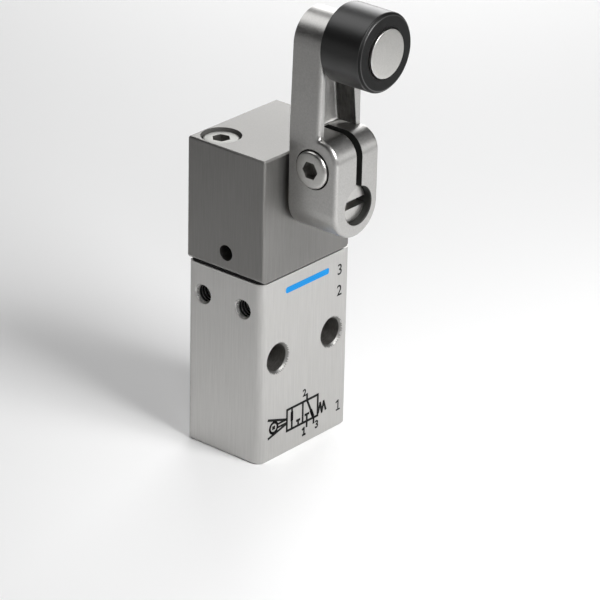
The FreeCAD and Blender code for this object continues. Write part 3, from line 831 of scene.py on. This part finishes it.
def make_ink_marks():
    """Port numbers and the symbol of a 3/2-way valve, printed on the front face."""
    face = node_box("valve_body")[0].y
    marks = bmesh.new()

    def stroke(x0, z0, x1, z1, width=STROKE):
        """A straight line of ink, a little longer than its run. Places on the face are in millimetres."""
        run = Vector((x1 - x0, 0, z1 - z0))
        middle = Vector(((x0 + x1) / 2, face - INK_THICKNESS / 2, (z0 + z1) / 2))
        turn = Matrix.Rotation(-math.atan2(run.z, run.x), 4, "Y")
        size = Matrix.Diagonal((run.length + width * STROKE_OVERLAP, INK_THICKNESS, width, 1))
        bmesh.ops.create_cube(marks, size=1, matrix=Matrix.Translation(middle) @ turn @ size)

    def chain(points, width=STROKE):
        """Lines of ink from point to point."""
        for start, end in zip(points, points[1:]):
            stroke(*start, *end, width)

    def figure(text, x, z, height, weight):
        """A figure of the built-in type, made fatter by the weight."""
        curve = bpy.data.curves.new("figure", "FONT")
        curve.body = text
        curve.size = height / FIGURE_SHARE
        curve.offset = weight
        curve.extrude = INK_THICKNESS / 2
        curve.align_x = "CENTER"
        curve.align_y = "CENTER"
        label = bpy.data.objects.new("figure", curve)
        bpy.context.scene.collection.objects.link(label)
        bpy.context.view_layer.update()
        mesh = bpy.data.meshes.new_from_object(label)
        glyph = bmesh.new()
        glyph.from_mesh(mesh)
        bmesh.ops.remove_doubles(glyph, verts=glyph.verts, dist=FINEST_DETAIL)
        place = Matrix.Translation((x, face - INK_THICKNESS / 2, z)) @ Matrix.Rotation(math.pi / 2, 4, "X")
        bmesh.ops.transform(glyph, matrix=place, verts=glyph.verts)
        join_into(marks, glyph)
        bpy.data.objects.remove(label)
        bpy.data.curves.remove(curve)
        bpy.data.meshes.remove(mesh)

    def one(x, z, height, width):
        """The figure 1 with a flag and a foot."""
        top = z + height / 2
        foot = z - height / 2
        chain([(x - FLAG_REACH * height, top - FLAG_DROP * height), (x, top), (x, foot)], width)
        stroke(x - FOOT_REACH * height, foot, x + FOOT_REACH * height, foot, width)

    # Numbers at the edge, each about as high as its port
    figure("3", 9.7, 32.1, height=2.1, weight=0.03)
    figure("2", 9.7, 27.9, height=2.1, weight=0.03)
    one(10.2, 4.4, height=1.9, width=FINE_STROKE)
    # The symbol's two squares
    left, right, low, high = -4.4, 4.3, 4.4, 8.7
    middle = 0.05
    chain([(left, low), (right, low), (right, high), (left, high), (left, low)])
    stroke(middle, low, middle, high)
    # Left square, the valve worked: the way from 1 to 2 with its arrow, and 3 shut
    stroke(-3.0, low, -3.0, high)
    stroke(-3.0, 6.3, -3.0, 7.6, ARROW_STROKE)
    stroke(-1.2, low, -1.2, low + 1.1)
    stroke(-1.6, low + 1.1, -0.8, low + 1.1)
    # Right square, the valve at rest: 1 shut, and the way from 2 to 3 with its arrow
    stroke(1.25, low - 1.1, 1.25, low + 1.4)
    stroke(0.8, low + 1.4, 1.7, low + 1.4)
    stroke(1.2, high + 1.2, 1.2, high)
    stroke(1.2, high, 3.2, low)
    stroke(2.45, 6.0, 2.9, 5.0, ARROW_STROKE)
    stroke(3.2, low, 3.2, low - 1.1)
    # The ports' numbers
    figure("2", 0.45, 10.4, height=1.4, weight=0.07)
    one(0.5, 2.55, height=1.4, width=THIN_STROKE)
    figure("3", 4.1, 2.6, height=1.5, weight=0.08)
    # The lever to the left, the return spring to the right, and the roller on its stalk
    stroke(left, 6.8, -9.6, 8.5)
    stroke(left, 6.0, -9.5, 4.75)
    chain([(4.5, 4.9), (5.0, 6.7), (5.5, 4.7), (6.0, 6.7), (6.6, 4.9)])
    ring_x, ring_z, ring_radius = -8.1, 6.5, 1.05
    stroke(ring_x + ring_radius, ring_z + 0.35, left, 6.85, THIN_STROKE)
    stroke(ring_x + ring_radius, ring_z - 0.35, left, 6.15, THIN_STROKE)
    ring = []
    for index in range(RING_POINTS + 1):
        turn = FULL_TURN * index / RING_POINTS
        ring.append((ring_x + ring_radius * math.cos(turn), ring_z + ring_radius * math.sin(turn)))
    chain(ring)
    stroke(ring_x - 0.1, ring_z, ring_x + 0.1, ring_z, ARROW_STROKE)
    new_piece("printed_marks", marks, "valve", BLACK_INK)

    stripe = bmesh.new()
    size = Matrix.Diagonal((STRIPE_LENGTH, INK_THICKNESS, STRIPE_WIDTH, 1))
    place = Matrix.Translation((STRIPE_X, face - INK_THICKNESS / 2, STRIPE_Z))
    bmesh.ops.create_cube(stripe, size=1, matrix=place @ size)
    through = [edge for edge in stripe.edges if abs(edge.verts[0].co.y - edge.verts[1].co.y) > MERGE]
    bmesh.ops.bevel(
        stripe,
        geom=through,
        offset=STRIPE_ROUND,
        offset_type="OFFSET",
        segments=ROUND_SEGMENTS,
        profile=0.5,
        affect="EDGES",
        material=-1,
    )
    new_piece("printed_stripe", stripe, "valve", BLUE_INK)


def make_stage():
    """Pale floor, soft lamps and a plain world."""
    bm = bmesh.new()
    bmesh.ops.create_grid(bm, x_segments=1, y_segments=1, size=FLOOR_REACH)
    bmesh.ops.scale(bm, vec=(MM, MM, MM), verts=bm.verts)
    mesh = bpy.data.meshes.new("floor")
    bm.to_mesh(mesh)
    bm.free()
    material, output = new_material("pale_floor")
    tree = material.node_tree
    place = add(tree, "ShaderNodeTexCoord")
    distance = add(
        tree,
        "ShaderNodeVectorMath",
        settings={"operation": "LENGTH"},
        inputs={"Vector": place.outputs["Object"]},
    )
    glow = add(
        tree,
        "ShaderNodeMapRange",
        settings={"interpolation_type": "SMOOTHSTEP"},
        inputs={
            "Value": distance.outputs["Value"],
            "From Min": GLOW_START * MM,
            "From Max": GLOW_FULL * MM,
            "To Max": GLOW_STRENGTH,
        },
    )
    shader = add(
        tree,
        "ShaderNodeBsdfPrincipled",
        inputs={
            "Base Color": linear(PALE),
            "Roughness": 0.9,
            "Emission Color": linear(PALE),
            "Emission Strength": glow.outputs["Result"],
        },
    )
    tree.links.new(shader.outputs["BSDF"], output.inputs["Surface"])
    mesh.materials.append(material)
    floor = bpy.data.objects.new("floor", mesh)
    bpy.context.scene.collection.objects.link(floor)

    world = bpy.data.worlds.new("studio")
    bpy.context.scene.world = world
    world.use_nodes = True
    tree = world.node_tree
    background = tree.nodes["Background"]
    background.inputs["Color"].default_value = linear(PALE)
    outward = add(tree, "ShaderNodeTexCoord")
    rise = add(tree, "ShaderNodeSeparateXYZ", inputs={"Vector": outward.outputs["Generated"]})
    horizon = add(
        tree,
        "ShaderNodeMapRange",
        inputs={
            "Value": rise.outputs["Z"],
            "From Min": HORIZON_FULL,
            "From Max": HORIZON_END,
            "To Min": GLOW_STRENGTH,
            "To Max": SKY_STRENGTH,
        },
    )
    tree.links.new(horizon.outputs["Result"], background.inputs["Strength"])

    add_lamp("key", Vector((0, -200, 200)), Vector((50, -80, 0)), size=120, power=0.8)
    add_lamp("back", Vector((300, 200, 200)), Vector((0, 0, 40)), size=240, power=0.75)
    add_lamp("overhead", Vector((-30, 130, 300)), Vector((0, 0, 70)), size=180, power=0.2)
    add_lamp("low", Vector((600, -600, 140)), Vector((0, 0, 50)), size=400, power=0.6)
    add_lamp("spark", Vector((-260, -240, 220)), Vector((0, 0, 40)), size=60, power=0.12)


def add_lamp(name, place, aim, size, power):
    """Square area lamp that looks at a point. Its power is in watts, the rest in millimetres."""
    data = bpy.data.lights.new(name, "AREA")
    data.size = size * MM
    data.energy = power
    lamp = bpy.data.objects.new(name, data)
    lamp.location = place * MM
    lamp.rotation_mode = "QUATERNION"
    lamp.rotation_quaternion = (aim - place).to_track_quat("-Z", "Y")
    bpy.context.scene.collection.objects.link(lamp)


def make_camera():
    """Camera at the photograph's angle."""
    turn = math.radians(VIEW_AZIMUTH)
    tilt = math.radians(VIEW_ELEVATION)
    roll = math.radians(VIEW_ROLL)
    back = Vector((math.sin(turn) * math.cos(tilt), -math.cos(turn) * math.cos(tilt), math.sin(tilt)))
    right = Vector((math.cos(turn), math.sin(turn), 0))
    up = back.cross(right)
    across = right * math.cos(roll) + up * math.sin(roll)
    upward = up * math.cos(roll) - right * math.sin(roll)
    place = (VIEW_AIM + back * VIEW_DISTANCE) * MM
    data = bpy.data.cameras.new("camera")
    data.sensor_width = SENSOR_WIDTH
    data.lens = FOCAL_PIXELS / PHOTO_SIDE * SENSOR_WIDTH
    data.clip_start = 0.01
    data.clip_end = 10
    camera = bpy.data.objects.new("camera", data)
    rows = Matrix((across, upward, back)).transposed().to_4x4()
    camera.matrix_world = Matrix.Translation(place) @ rows
    bpy.context.scene.collection.objects.link(camera)
    bpy.context.scene.camera = camera


for name, node in nodes.items():
    node.data.materials.clear()
    node.data.materials.append(FINISHES[slots[name]])

make_camera()
make_stage()
make_valve_body()
for name, body in (
    ("head_gasket", "valve"),
    ("front_bush", "valve"),
    ("lever_shaft", "lever_arm"),
    ("thrust_washer", "lever_arm"),
    ("roller_washer", "lever_arm"),
):
    dress(name, body)
make_head()
make_lever()
make_screws()
make_roller()
make_ink_marks()
make_springs()

bpy.context.scene.view_settings.view_transform = "Standard"
